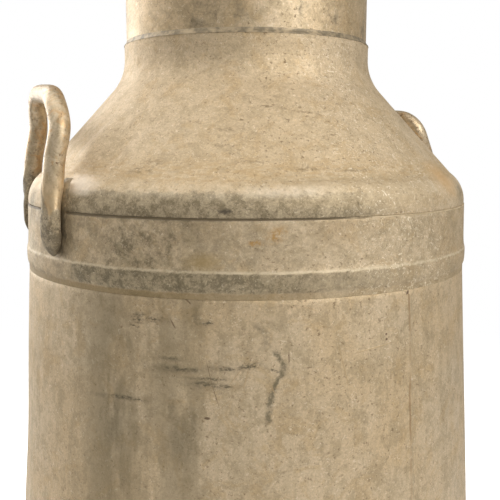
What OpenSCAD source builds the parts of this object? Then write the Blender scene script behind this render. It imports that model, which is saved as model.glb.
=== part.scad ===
// Churn-type milk can: tapered sheet body with a foot hoop, embossed breast band, coned
// shoulder with a rolled lip, neck with a wired mouth, two soldered rod handles and a lift-out lid.
// Millimetres, +Z up, origin at the centre of the foot on the ground.

/* [Body] */
// Height from the ground to the lower edge of the breast band
body_h = 370; // [300:5:440]
// Outer radius of the body just below the breast band
body_top_r = 160; // [140:1:180]
// Slope of the body wall from the vertical, in degrees
body_taper = 3.1; // [0:0.1:4]
// Thickness of the body, shoulder and base sheets
sheet_t = 1.6; // [1.2:0.1:2.2]
// Direction of the upright body seam, in degrees from +X
seam_az = -52; // [-180:1:180]
// Width of the solder run over the body seam
seam_w = 7; // [4:0.5:12]

/* [Breast band] */
// Height of the breast band
band_h = 45; // [40:1:60]
// Thickness of the breast band
band_t = 1.3; // [1:0.1:1.6]
// Height of the raised bead at the foot of the band
bead_h = 12; // [8:1:16]
// How far the bead stands out of the band
bead_out = 1.3; // [0.5:0.1:3]

/* [Shoulder] */
// Radius of the rolled lip around the shoulder
roll_r = 23.6; // [20:0.2:26]
// Sweep of the rolled lip, in degrees
roll_sweep = 55; // [50:1:60]
// Slope of the shoulder cone from the vertical, in degrees
cone_slope = 42; // [38:1:46]
// Radius of the blend from the cone into the neck
blend_r = 35; // [20:1:40]

/* [Neck] */
// Outer radius of the shoulder's collar around the neck
collar_r = 89; // [84:1:94]
// Height of the collar
collar_h = 9; // [6:1:14]
// Height of the mouth above the shoulder cone's blend
neck_h = 74; // [60:1:90]
// Thickness of the neck and lid sheets
neck_t = 1.6; // [1.2:0.1:1.9]
// Radius of the wired edge around the mouth
mouth_wire_r = 4; // [3:0.5:5]

/* [Handles] */
// Direction of the left handle, in degrees from +X
left_az = 201.5; // [190:0.5:210]
// Direction of the right handle, in degrees from +X
right_az = 40.4; // [0:0.1:45]
// Lean of the left handle towards the neck, in degrees
left_lean = 5; // [0:1:10]
// Lean of the right handle, which is bent in towards the neck, in degrees
right_lean = 27; // [0:1:27]
// Radius of the handle rod
rod_r = 6.1; // [5:0.1:7]
// Half the distance between a handle's two legs
leg_half = 61.3; // [50:0.1:65]
// Length of a handle's legs above the lip, to the middle of its top bar
leg_len = 67; // [60:1:80]
// Radius of a handle's two upper corners
corner_r = 26; // [18:1:34]
// How far a handle's flattened tails reach down from the lip's edge
tail_len = 27.5; // [20:0.5:30]

/* [Lid] */
// Depth of the plug below the mouth
plug_depth = 50; // [40:1:55]
// Gap between the plug and the neck
plug_gap = 0.8; // [0.4:0.1:1.5]
// Radius of the lid's brim at the centre of its wire
brim_r = 100.5; // [99:0.5:110]
// Radius of the wire in the lid's brim
brim_wire_r = 2.6; // [2:0.1:3]
// Radius of the bar across the lid's recess
grip_r = 5; // [4:0.5:6]
// Direction of the bar across the lid, in degrees from +X
grip_az = 0; // [0:5:90]

/* [Foot] */
// Height of the foot hoop
hoop_h = 28; // [20:1:40]
// Thickness of the foot hoop
hoop_t = 3; // [2:0.5:5]
// Height of the base sheet's edge above the ground
base_z = 24; // [18:1:30]
// Depth of the dish in the base sheet
dish = 10; // [4:1:14]

/* [Hidden] */
$fn = 96;

tin = [0.80, 0.72, 0.60];
band_tin = [0.66, 0.59, 0.48];
bare_steel = [0.62, 0.54, 0.43];
solder_grey = [0.50, 0.46, 0.40];

ledge = 2;             // thickness of the hoop's inward ledge under the shell
ledge_w = 2 * sheet_t + 1; // how far the ledge reaches in under the sheets
foot_edge_r = 2.5;     // radius of the hoop's rounded lower edge
foot_edge_out = 2;     // how far that rounded edge stands out of the hoop
pan_rim = 6;           // width of the base sheet's rim outside its dish
pan_bend = 2;          // height of the bend between that rim and its flange
bevel = 1;             // small bevel on a sheet's or a hoop's edge
gap = 0.6;             // open gap between the band and the lip
lap_h = 6;             // how far the shell reaches up inside the lip
lip_t = 3;             // thickness of the hemmed lip at its edge
lip_in = 0.8;          // how far the lip stays inside the top of the body
joggle = 2.5;          // height over which the shell steps inwards
seam_t = 0.7;          // height of the solder run over the body seam
touch = 0.01;          // gap between faces that touch along a slope
bead_foot = 4;         // height of the plain edge below the bead
bead_rise = 1.2;       // height over which the bead's lower side rises
bead_fade = 10;        // height over which the bead's upper side fades into the band
band_in = 0.5;         // how far the band's top stays inside its foot
solder_t = 0.8;        // thickness of the solder under a handle's tails
solder_w = 1.5;        // how far that solder shows round a tail
fillet = 3;            // leg of the solder fillet round the neck
tail_w = 7;            // half the width of a tail
tail_t = 5;            // thickness of a tail
arc_steps = 10;        // straight stretches in each rounded stretch of an outline
lip_arc_steps = 5;     // stretches of the lip's roll that a tail's foot follows

band_z = body_h + band_h;
lip_z = band_z + gap;
under_band_r = body_top_r - band_t;
lip_r = body_top_r - lip_in;
lap_r = lip_r - lip_t;
roll_z = lip_z + 1.8;
shell_z = lip_z + lap_h;
roll_top_r = lip_r - roll_r * (1 - cos(roll_sweep));
roll_top_z = roll_z + roll_r * sin(roll_sweep);
blend_foot_r = collar_r + blend_r * (1 - cos(cone_slope));
cone_top_z = roll_top_z + (roll_top_r - blend_foot_r) / tan(cone_slope);
collar_z = cone_top_z + blend_r * sin(cone_slope);
collar_top = collar_z + collar_h;
mouth_z = collar_z + neck_h;
neck_r = collar_r - sheet_t;
bore_r = neck_r - neck_t;
neck_foot = collar_z + bevel;
plug_r = bore_r - plug_gap;
plug_draft = 2;        // how much the plug narrows to its foot
plug_corner = 9;       // radius of the plug's lower corner
plug_flange = 6;       // how far the plug's flange reaches out over the mouth
flange_t = 1.2;        // thickness of that flange
grip_drop = 8;         // how far the bar's middle lies below the mouth
grip_solder = 3;       // length and thickness of the solder at each end of the bar
grip_z = mouth_z - grip_drop;
leg_foot_z = lip_z + 7;    // where a leg's straight rod starts
leg_foot_r = lip_r + 3.8;
tail_foot_z = lip_z - tail_len;

// Outer radius of the body wall at height z, below the band
function wall_r(z) = body_top_r + (body_h - z) * tan(body_taper);

// Points along an arc from angle a0 to angle a1 around c
function arc(c, r, a0, a1) =
    [for (i = [0:arc_steps]) let (a = a0 + (a1 - a0) * i / arc_steps) c + r * [cos(a), sin(a)]];

// Outer outline of the band, upwards from its lower edge
function band_outline() = let (bead_z = body_h + bead_foot, bead_top = bead_z + bead_h) [
    [body_top_r + 0.1, body_h],
    [body_top_r + 0.2, bead_z],
    [body_top_r + bead_out * 0.7, bead_z + bead_rise],
    [body_top_r + bead_out, bead_z + bead_h / 3],
    [body_top_r + bead_out, bead_top - 0.6],
    [body_top_r + band_in, bead_top + bead_fade * 0.3],
    [body_top_r, bead_top + bead_fade],
    [body_top_r - band_in, band_z]
];

// Outline of the shoulder moved in by t, from angle a0 of the lip's roll to the collar's top
function shoulder_outline(t, a0) = concat(
    arc([lip_r - roll_r, roll_z], roll_r - t, a0, roll_sweep),
    arc([collar_r + blend_r, collar_z], blend_r + t, 180 + cone_slope, 180),
    [[collar_r - t, collar_top]]
);

function reversed(points) = [for (i = [len(points) - 1:-1:0]) points[i]];

module foot_hoop() {
    edge_r = wall_r(0) + hoop_t + foot_edge_out - foot_edge_r;
    top_r = wall_r(hoop_h) + hoop_t;
    color(bare_steel) rotate_extrude() polygon(concat(
        [[wall_r(ledge) - ledge_w, 0]],
        arc([edge_r, foot_edge_r], foot_edge_r, -90, 90),
        [
            [wall_r(2 * foot_edge_r) + hoop_t, 2 * foot_edge_r + 0.5],
            [top_r, hoop_h - bevel],
            [top_r - bevel, hoop_h],
            [wall_r(hoop_h), hoop_h],
            [wall_r(ledge), ledge],
            [wall_r(ledge) - ledge_w, ledge]
        ]
    ));
}

module base_pan() {
    flange_r = wall_r(ledge) - sheet_t;
    edge_r = wall_r(base_z) - sheet_t;
    dish_r = (pow(edge_r - pan_rim, 2) + dish * dish) / (2 * dish);
    sweep = asin((edge_r - pan_rim) / dish_r);
    centre = [0, base_z - dish + dish_r];
    color(tin) rotate_extrude() polygon(concat(
        arc(centre, dish_r, -90, -90 + sweep),
        [
            [edge_r - bevel, base_z],
            [edge_r, base_z - pan_bend],
            [flange_r, ledge],
            [flange_r - sheet_t, ledge],
            [edge_r - sheet_t, base_z - 2 * pan_bend]
        ],
        arc(centre, dish_r + sheet_t, -90 + sweep - 1, -90)
    ));
}

module base_solder() {
    r = wall_r(base_z) - sheet_t;
    top = base_z + fillet + bevel;
    color(solder_grey) rotate_extrude() polygon([
        [r - bevel, base_z], [r, base_z - pan_bend], [wall_r(top) - sheet_t, top]
    ]);
}

module body_shell() {
    color(tin) rotate_extrude() polygon([
        [wall_r(ledge), ledge],
        [body_top_r, body_h],
        [under_band_r, body_h],
        [under_band_r, band_z - joggle],
        [lap_r, lip_z - 0.5],
        [lap_r, shell_z],
        [lap_r - sheet_t, shell_z],
        [lap_r - sheet_t, lip_z - 1.2],
        [under_band_r - sheet_t, band_z - joggle - 0.7],
        [under_band_r - sheet_t, body_h + joggle],
        [wall_r(body_h - 2) - sheet_t, body_h - 2],
        [wall_r(ledge) - sheet_t, ledge]
    ]);
}

module body_seam() {
    sweep = seam_w / body_top_r * 180 / PI;
    foot = hoop_h + bevel;
    top = body_h - bevel;
    color(solder_grey) rotate([0, 0, seam_az - sweep / 2]) rotate_extrude(angle = sweep) polygon([
        [wall_r(foot) + touch, foot],
        [wall_r(foot) + seam_t, foot + seam_t],
        [wall_r(top) + seam_t, top - seam_t],
        [wall_r(top) + touch, top]
    ]);
}

module breast_band() {
    color(band_tin) rotate_extrude() polygon(concat(
        band_outline(),
        [[under_band_r, band_z], [under_band_r, body_h]]
    ));
}

module shoulder() {
    hem_end = acos((lap_r - lip_r + roll_r) / (roll_r - sheet_t));
    color(tin) rotate_extrude() polygon(concat(
        [[lap_r, lip_z], [lip_r, lip_z]],
        shoulder_outline(0, 0),
        reversed(shoulder_outline(sheet_t, hem_end))
    ));
}

module shoulder_solder() {
    color(solder_grey) rotate_extrude() polygon([
        [lap_r, lip_z], [lap_r, lip_z - 0.4], [under_band_r - 0.6, band_z - joggle / 2],
        [under_band_r, band_z], [body_top_r - 1.1, band_z], [body_top_r - 1.1, lip_z]
    ]);
}

module neck() {
    color(tin) rotate_extrude() polygon([
        [neck_r, neck_foot], [neck_r, mouth_z], [bore_r, mouth_z], [bore_r, neck_foot]
    ]);
}

module neck_solder() {
    color(solder_grey) rotate_extrude() polygon([
        [neck_r, collar_top], [collar_r, collar_top], [neck_r, collar_top + fillet]
    ]);
}

// Wired edge around the outside of the mouth, cut flat where it meets the neck
module mouth_wire() {
    bite = 0.8;
    c = [neck_r + mouth_wire_r * bite, mouth_z - mouth_wire_r];
    open = acos(-bite);
    color(bare_steel) rotate_extrude() polygon(arc(c, mouth_wire_r, -open, open));
}

// Straight rod from p to q with a round end at each
module rod(p, q) {
    d = q - p;
    translate(p) {
        rotate([0, acos(d[2] / norm(d)), atan2(d[1], d[0])]) cylinder(h = norm(d), r = rod_r);
        sphere(rod_r);
    }
}

// Rod loop in its own plane: legs along Z from the origin's level, top bar along Y
module rod_loop() {
    straight = leg_len - corner_r;
    for (side = [-1, 1]) {
        rod([0, side * leg_half, 0], [0, side * leg_half, straight]);
        translate([0, side * (leg_half - corner_r), straight]) rotate([90, 0, 90])
            rotate([0, 0, side > 0 ? 0 : 90])
                rotate_extrude(angle = 90) translate([corner_r, 0]) circle(rod_r);
    }
    translate([0, -(leg_half - corner_r), leg_len]) rotate([-90, 0, 0])
        cylinder(h = 2 * (leg_half - corner_r), r = rod_r);
}

// Outline of a tail seen from outside, as [across, height], widened by w
module tail_outline(w) {
    top = leg_foot_z + 2 + w;
    shape = [
        [tail_w + w, top],
        [tail_w + w, lip_z - tail_w],
        [tail_w * 0.8 + w, tail_foot_z + tail_w],
        [tail_w * 0.3 + w, tail_foot_z - w]
    ];
    polygon(concat(shape, reversed([for (p = shape) [-p[0], p[1]]])));
}

// Layer that follows the band and the lip, from t0 to t1 outside them
module skin_layer(t0, t1) {
    roll = arc([lip_r - roll_r, roll_z], roll_r, 0, roll_sweep);
    skin = concat(
        [
            [body_top_r + bead_out + 0.1, tail_foot_z - 4],
            [body_top_r + 0.2, tail_foot_z + 6],
            [body_top_r - 0.4, band_z],
            [lip_r, lip_z]
        ],
        [for (i = [0:lip_arc_steps]) roll[i]]
    );
    rotate_extrude() polygon(concat(
        [for (p = skin) p + [t0, 0]],
        reversed([for (p = skin) p + [t1, 0]])
    ));
}

// Both tails of a handle at the leg positions, as a layer from t0 to t1
module tails(t0, t1, w) {
    spread = asin(leg_half / leg_foot_r);
    for (side = [-1, 1]) intersection() {
        skin_layer(t0, t1);
        rotate([0, 0, side * spread]) rotate([90, 0, 90])
            linear_extrude(leg_foot_r + 20) tail_outline(w);
    }
}

module handle(lean) {
    foot_x = sqrt(leg_foot_r * leg_foot_r - leg_half * leg_half);
    difference() {
        union() {
            translate([foot_x, 0, leg_foot_z]) rotate([0, -lean, 0]) rod_loop();
            tails(solder_t, solder_t + tail_t, 0);
        }
        rotate_extrude() polygon(concat(
            [
                [0, tail_foot_z],
                [body_top_r - tail_t, tail_foot_z],
                [lip_r + solder_t, lip_z - tail_w]
            ],
            [for (p = shoulder_outline(0, 0)) p + [solder_t, 0]],
            [[0, collar_top]]
        ));
    }
}

module handle_solder() {
    tails(0, solder_t, solder_w);
}

module left_handle() color(bare_steel) rotate([0, 0, left_az]) handle(left_lean);
module right_handle() color(bare_steel) rotate([0, 0, right_az]) handle(right_lean);
module left_handle_solder() color(solder_grey) rotate([0, 0, left_az]) handle_solder();
module right_handle_solder() color(solder_grey) rotate([0, 0, right_az]) handle_solder();

// Outline of the plug's outer face moved in by t, upwards from its centre
function plug_outline(t) = let (foot_r = plug_r - plug_draft, foot_z = mouth_z - plug_depth) concat(
    [[0, foot_z + t]],
    arc([foot_r - plug_corner, foot_z + plug_corner], plug_corner - t, -90, 0),
    [[plug_r - t, mouth_z]]
);

module lid_plug() {
    top = mouth_z + neck_t;
    color(tin) rotate_extrude() polygon(concat(
        plug_outline(0),
        [
            [plug_r, top], [plug_r + plug_flange, top], [plug_r + plug_flange, top + flange_t],
            [plug_r - bevel, top + flange_t], [plug_r - neck_t, top]
        ],
        reversed(plug_outline(neck_t))
    ));
}

// Disc around the plug, with its edge curled round a wire
module lid_brim() {
    c = [brim_r, mouth_z - brim_wire_r];
    curl = 190;
    inner_r = brim_wire_r / cos(curl / arc_steps / 2) + touch;
    color(tin) rotate_extrude() polygon(concat(
        [[plug_r + 0.2, mouth_z], [plug_r + 0.2, mouth_z + neck_t]],
        arc(c, brim_wire_r + neck_t, 90, 90 - curl),
        arc(c, inner_r, 90 - curl, 90)
    ));
}

module lid_brim_wire() {
    color(bare_steel) rotate_extrude() translate([brim_r, mouth_z - brim_wire_r])
        circle(brim_wire_r);
}

// Space inside the plug
module plug_recess() {
    rotate_extrude() polygon(concat(plug_outline(neck_t), [[0, mouth_z]]));
}

module lid_grip() {
    color(bare_steel) intersection() {
        plug_recess();
        translate([0, 0, grip_z]) rotate([0, 90, grip_az])
            cylinder(h = 2 * plug_r, r = grip_r, center = true);
    }
}

module lid_grip_solder() {
    $fn = 240;
    inner = plug_r - neck_t - grip_solder;
    color(solder_grey) intersection() {
        plug_recess();
        translate([0, 0, grip_z]) rotate([0, 90, grip_az]) difference() {
            cylinder(h = 2 * plug_r, r = grip_r + grip_solder, center = true);
            cylinder(h = 2 * plug_r + 2, r = grip_r, center = true);
            cylinder(h = 2 * inner, r = grip_r + 2 * grip_solder, center = true);
        }
    }
}

foot_hoop();
base_pan();
base_solder();
body_shell();
body_seam();
breast_band();
shoulder();
shoulder_solder();
neck();
neck_solder();
mouth_wire();
left_handle();
left_handle_solder();
right_handle();
right_handle_solder();
lid_plug();
lid_brim();
lid_brim_wire();
lid_grip();
lid_grip_solder();
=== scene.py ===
import math

import bpy
import numpy as np
from mathutils import Matrix, Vector


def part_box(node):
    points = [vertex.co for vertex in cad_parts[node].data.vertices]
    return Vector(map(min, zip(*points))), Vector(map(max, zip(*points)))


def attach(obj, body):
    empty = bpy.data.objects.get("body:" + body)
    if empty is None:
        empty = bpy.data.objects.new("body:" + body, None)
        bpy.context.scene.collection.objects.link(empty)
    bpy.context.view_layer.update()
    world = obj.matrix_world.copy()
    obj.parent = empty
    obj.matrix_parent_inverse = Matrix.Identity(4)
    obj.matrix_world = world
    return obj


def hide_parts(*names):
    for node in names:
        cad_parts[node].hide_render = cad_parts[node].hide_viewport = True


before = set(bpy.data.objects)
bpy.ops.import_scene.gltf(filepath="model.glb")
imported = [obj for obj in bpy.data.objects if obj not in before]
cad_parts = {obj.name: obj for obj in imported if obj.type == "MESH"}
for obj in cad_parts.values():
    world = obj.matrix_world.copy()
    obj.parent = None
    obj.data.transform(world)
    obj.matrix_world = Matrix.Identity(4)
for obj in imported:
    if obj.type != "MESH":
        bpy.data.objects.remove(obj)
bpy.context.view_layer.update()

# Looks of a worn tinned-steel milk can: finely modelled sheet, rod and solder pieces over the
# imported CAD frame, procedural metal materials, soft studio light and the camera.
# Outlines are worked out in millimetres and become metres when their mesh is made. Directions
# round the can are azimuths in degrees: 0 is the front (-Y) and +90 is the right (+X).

MM = 0.001


def foot_of(node):
    """Height of a CAD node's lowest point, in mm."""
    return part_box(node)[0].z / MM


def top_of(node):
    """Height of a CAD node's highest point, in mm."""
    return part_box(node)[1].z / MM


def radius_of(node):
    """Largest radius of a round CAD node, in mm."""
    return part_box(node)[1].x / MM


# ---- sizes, from the frame
SHEET = 1.6  # thickness of the body, shoulder and base sheets
NECK_SHEET = 1.6
BODY_TOP = foot_of("breast_band")
BAND_TOP = top_of("breast_band")
BEAD_R = radius_of("breast_band")
BEAD_OUT = 1.3
BODY_R = BEAD_R - BEAD_OUT
BAND_SUNK = 1.3  # how far the body sheet steps in under the band
BAND_BACK = BODY_R - BAND_SUNK
LEDGE = foot_of("body_shell")
TAPER = (radius_of("body_shell") - BODY_R) / (BODY_TOP - LEDGE)  # of the wall, inwards as it rises
LIP_Z = foot_of("shoulder")
LIP_R = radius_of("shoulder")
LIP_THICK = 3.0
LAP_R = LIP_R - LIP_THICK  # where the body sheet laps up inside the lip
ROLL_R = 23.6
ROLL_SWEEP = 55.0
ROLL_Z = LIP_Z + 1.8
CONE_SLOPE = 42.0
BLEND_R = 35.0
COLLAR_TOP = top_of("shoulder")
COLLAR_Z = COLLAR_TOP - 9.0
NECK_R = radius_of("neck")
COLLAR_R = NECK_R + SHEET
MOUTH_Z = top_of("neck")
BORE_R = NECK_R - NECK_SHEET
MOUTH_WIRE_R = (MOUTH_Z - foot_of("mouth_wire")) / 2
HOOP_TOP = top_of("foot_hoop")
HOOP_T = 3.0
FOOT_R = radius_of("foot_hoop")
PAN_Z = top_of("base_pan")
PLUG_R = BORE_R - 0.8
PLUG_FOOT = foot_of("lid_plug")
PLUG_TOP = top_of("lid_plug")
BRIM_R = radius_of("lid_brim")
BRIM_TOP = top_of("lid_brim")
GRIP_LOW, GRIP_HIGH = [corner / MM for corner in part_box("lid_grip")]
GRIP_R = (GRIP_HIGH.y - GRIP_LOW.y) / 2
GRIP_Z = (GRIP_LOW.z + GRIP_HIGH.z) / 2
SEAM_AZ = 38.0
LEFT_AZ = -68.5
RIGHT_AZ = 130.4
ROD_R = 6.6

SEGMENTS = 384  # facets round a large sheet piece
NECK_SEGMENTS = 256  # round the neck and the lid
BASE_SEGMENTS = 192  # and round the base
OUTER_PITCH = 2.2  # spacing of rings on a face that shows, in mm
INNER_PITCH = 14.0  # and on one that is hidden
RING = 40  # points round a rod
ROUND = np.linspace(0, 2 * math.pi, RING, endpoint=False)


def wall_r(z):
    """Outer radius of the body's tapered wall at height z."""
    return BODY_R + (BODY_TOP - z) * TAPER


# ---- outlines and meshes
def smooth_step(low, high, value):
    """0 below low and 1 above high, with a smooth change between; low may be the larger."""
    share = np.clip((value - low) / (high - low), 0, 1)
    return share * share * (3 - 2 * share)


def arc(centre, radius, start, end, steps):
    """Points along an arc in the (radius, height) plane, with its angles in degrees."""
    angles = np.radians(np.linspace(start, end, steps + 1))
    return [(centre[0] + radius * math.cos(a), centre[1] + radius * math.sin(a)) for a in angles]


def run(points, pitch=OUTER_PITCH):
    """The same points, with more between them, so that none are further apart than pitch."""
    fine = [points[0]]
    for (r0, z0), (r1, z1) in zip(points, points[1:]):
        steps = max(1, math.ceil(math.hypot(r1 - r0, z1 - z0) / pitch))
        for i in range(1, steps + 1):
            fine.append((r0 + (r1 - r0) * i / steps, z0 + (z1 - z0) * i / steps))
    return fine


def knock(azimuth, z, at, size, depth, tilt):
    """A soft dent or swelling at (azimuth, height), size mm across and up, tilted, depth mm out."""
    across = np.radians(azimuth - at[0]) * BODY_R
    up = z - at[1]
    turn = math.radians(tilt)
    along = (across * math.cos(turn) + up * math.sin(turn)) / size[0]
    beside = (up * math.cos(turn) - across * math.sin(turn)) / size[1]
    return depth * np.exp(-(along ** 2 + beside ** 2))


KNOCKS = [
    # (azimuth, height), (half-width, half-height), outwards, tilt
    ((-45.0, 455), (14, 16), 4.2, -20),  # swelling beside the left handle
    ((-35.5, 449), (6, 17), -2.0, -32),  # valley along its lower right side
    ((-46.0, 437.5), (11, 3.2), -1.2, 8),  # crease at its foot
    ((-20, 300), (22, 34), -0.5, 10),
    ((24, 262), (30, 22), -0.6, 0),
    ((62, 330), (16, 26), -0.7, 15),
    ((-75, 250), (24, 40), -0.8, -10),
    ((118, 180), (34, 22), -1.4, 8),
    ((155, 320), (20, 30), -0.9, -25),
    ((-140, 120), (30, 26), -1.2, 0),
    ((172, 90), (24, 18), -1.1, 20),
    ((14, 110), (34, 24), -1.0, -12),
    ((-50, 80), (20, 16), -0.9, 0),
    ((98, 455), (12, 14), -1.0, 0),
    ((-160, 462), (14, 10), -1.1, 15),
]


TRUE_FOOT, TRUE_NECK = 8, 500  # the sheet is true below and above these heights


def unevenness(azimuth, z):
    """How far the knocked-about sheet stands off its true round, in mm."""
    turn = np.radians(azimuth)
    waves = 0.22 * np.sin(2 * turn + 0.7) + 0.16 * np.sin(3 * turn - z / 90)
    waves += 0.10 * np.sin(7 * turn + z / 45 + 1.3) + 0.06 * np.sin(13 * turn - z / 28)
    for at, size, depth, tilt in KNOCKS:
        nearest = (azimuth - at[0] + 180) % 360 - 180 + at[0]
        waves = waves + knock(nearest, z, at, size, depth, tilt)
    return waves * smooth_step(TRUE_NECK, TRUE_NECK - 20, z) * smooth_step(TRUE_FOOT, TRUE_FOOT + 26, z)


def in_space(radius, azimuth, z, true_round=False):
    """Positions in metres of points given by radius, azimuth and height."""
    if not true_round:
        radius = radius + unevenness(azimuth, z)
    turn = np.radians(azimuth)
    return np.stack([radius * np.sin(turn), -radius * np.cos(turn), z + 0 * azimuth], -1) * MM


def in_scene(name, data):
    """A new object in the scene that holds the mesh, light or camera."""
    made = bpy.data.objects.new(name, data)
    bpy.context.scene.collection.objects.link(made)
    return made


def mesh_object(name, points, faces, sharp=35):
    """A smooth-shaded mesh object from points in metres, with outward faces."""
    mesh = bpy.data.meshes.new(name)
    mesh.from_pydata(points.tolist(), [], faces)
    mesh.validate()
    mesh.calc_loop_triangles()
    corners = np.empty(len(mesh.loop_triangles) * 3, np.int32)
    mesh.loop_triangles.foreach_get("vertices", corners)
    a, b, c = points[corners.reshape(-1, 3)].transpose(1, 0, 2)
    if np.einsum("ij,ij->", a, np.cross(b, c)) < 0:
        mesh.flip_normals()
    mesh.shade_smooth()
    mesh.set_sharp_from_angle(angle=math.radians(sharp))
    return in_scene(name, mesh)


def grid_faces(rows, columns, wrap_rows=False, wrap_columns=True, start=0):
    """Quads between neighbouring points of a grid stored row by row."""
    faces = []
    for i in range(rows if wrap_rows else rows - 1):
        for j in range(columns if wrap_columns else columns - 1):
            below, above = start + i * columns, start + (i + 1) % rows * columns
            beside = (j + 1) % columns
            faces.append((below + j, below + beside, above + beside, above + j))
    return faces


def fan(ring, centre):
    """Triangles between a ring of point numbers and one centre point."""
    return [(ring[i - 1], ring[i], centre) for i in range(len(ring))]


def lathe(name, outline, segments, true_round=False):
    """Solid of revolution of an outline: closed, or open with both ends on the axis."""
    on_axis = outline[0][0] == 0
    rings = np.array(outline[1:-1] if on_axis else outline)
    azimuths = np.linspace(-180, 180, segments, endpoint=False)
    azimuth, radius = np.meshgrid(azimuths, rings[:, 0])
    z = np.repeat(rings[:, 1:], segments, 1)
    points = in_space(radius, azimuth, z, true_round).reshape(-1, 3)
    faces = grid_faces(len(rings), segments, wrap_rows=not on_axis)
    if on_axis:
        ends = np.array([[0, 0, outline[0][1]], [0, 0, outline[-1][1]]]) * MM
        points = np.concatenate([points, ends])
        last = (len(rings) - 1) * segments
        faces += fan(range(segments), len(points) - 2)
        faces += fan(range(last, last + segments), len(points) - 1)
    return mesh_object(name, points, faces)


def rod(name, rings, ends):
    """Closed mesh through rings of points in mm, with a centre point for each end."""
    count, last = len(rings) * RING, (len(rings) - 1) * RING
    faces = grid_faces(len(rings), RING) + fan(range(RING), count) + fan(range(last, count), count + 1)
    points = np.concatenate([rings.reshape(-1, 3), ends])
    return mesh_object(name, points * MM, faces, 50)


def finish_piece(piece, material, body, slot, *nodes):
    """Gives a piece its material and body, and hides the CAD nodes it stands for."""
    piece.data.materials.append(material)
    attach(piece, body)
    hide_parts(*nodes)
    return piece


# ---- body, band and shoulder
def shoulder_outline(inset, start):
    """Outer face of the shoulder moved in by inset, from an angle of the lip's roll upwards."""
    roll = arc((LIP_R - ROLL_R, ROLL_Z), ROLL_R - inset, start, ROLL_SWEEP, 20)
    blend = arc((COLLAR_R + BLEND_R, COLLAR_Z), BLEND_R + inset, 180 + CONE_SLOPE, 180, 14)
    return roll + blend + [(COLLAR_R - inset, COLLAR_TOP)]


BAND_SHAPE = [
    # how far the face stands off the wall, and its height above the band's foot
    (0.1, 0), (0.15, 2.5), (0.25, 4), (0.65, 4.8), (1.0, 5.8), (1.2, 7.5), (BEAD_OUT, 9.5),
    (BEAD_OUT, 13.6), (1.2, 14.8), (0.9, 15.9), (0.6, 17.0), (0.35, 18.8), (0.15, 22), (0.0, 26),
]


def band_face():
    """Outer face of the breast band, upwards, with its sharp-crested bead near the foot."""
    face = [(BODY_R + out, BODY_TOP + up) for out, up in BAND_SHAPE]
    return face + [(BODY_R - 0.4, BAND_TOP - 0.5), (BODY_R - 0.7, BAND_TOP)]


def body_outline():
    """The body sheet: tapered wall, step in under the band, and lap up inside the lip."""
    under, lap, lap_top = BAND_BACK, LAP_R, LIP_Z + 6
    outer = run([(wall_r(LEDGE), LEDGE), (BODY_R + 0.15, BODY_TOP - 0.6), (BODY_R - 0.2, BODY_TOP)], 3)
    step = [(under, BODY_TOP), (under, BAND_TOP - 2.5), (lap, LIP_Z - 0.5), (lap, lap_top)]
    inner = [
        (lap - SHEET, lap_top), (lap - SHEET, LIP_Z - 1.2), (under - SHEET, BAND_TOP - 3.2),
        (under - SHEET, BODY_TOP + 2.5), (wall_r(BODY_TOP - 2) - SHEET, BODY_TOP - 2),
        (wall_r(LEDGE) - SHEET, LEDGE),
    ]
    return outer + run(step, INNER_PITCH) + run(inner, INNER_PITCH)


def band_outline():
    """The breast band, with a flat back against the body sheet."""
    return run(band_face(), 1.6) + run([(BAND_BACK, BAND_TOP), (BAND_BACK, BODY_TOP)], INNER_PITCH)


def shoulder_sheet_outline():
    """The shoulder sheet: hemmed lip, roll, cone, blend and collar."""
    hem_end = math.degrees(math.acos((LAP_R - LIP_R + ROLL_R) / (ROLL_R - SHEET)))
    edge = [(LAP_R, LIP_Z), (LIP_R - 0.5, LIP_Z), (LIP_R - 0.1, LIP_Z + 0.2)]
    outer, inner = shoulder_outline(0, 1), shoulder_outline(SHEET, hem_end)
    return edge + run(outer, 1.6) + run(inner[::-1], 8)


def lip_solder_outline():
    """Solder that fills the joint between the band's top and the lip."""
    face = BODY_R - 0.42
    return [
        (LAP_R, LIP_Z), (LAP_R, LIP_Z - 0.4), (BAND_BACK - 0.6, BAND_TOP - 1.2), (BAND_BACK, BAND_TOP),
        (BODY_R - 0.6, BAND_TOP - 0.4), (face, BAND_TOP - 0.2), (face, LIP_Z),
    ]


def skin_r(z):
    """Radius of the outer face that a handle's tails lie on, from the bead up over the lip."""
    face = band_face() + [(LIP_R, LIP_Z)] + shoulder_outline(0, 0)[:-1]
    return np.interp(z, [p[1] for p in face], [p[0] for p in face])


def grid_border(rows, columns):
    """Point numbers round the edge of a grid stored row by row."""
    first = [i * columns for i in range(rows)]
    top = [(rows - 1) * columns + j for j in range(1, columns)]
    last = [i * columns + columns - 1 for i in range(rows - 2, -1, -1)]
    return first + top + last + list(range(columns - 2, 0, -1))


def mound_faces(rows, columns, start):
    """Faces of a closed mound: a grid, a second one behind it, and the rim between them."""
    front = grid_faces(rows, columns, wrap_columns=False, start=start)
    back_start = start + rows * columns
    back = grid_faces(rows, columns, wrap_columns=False, start=back_start)
    border = grid_border(rows, columns)
    rim = []
    for last, here in zip(border[-1:] + border, border):
        rim.append((start + last, start + here, back_start + here, back_start + last))
    return front + [face[::-1] for face in back] + rim


SOLDER_SUNK = 0.3  # how deep a mound's back lies under the skin
MOUND_COLUMNS = 17


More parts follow.
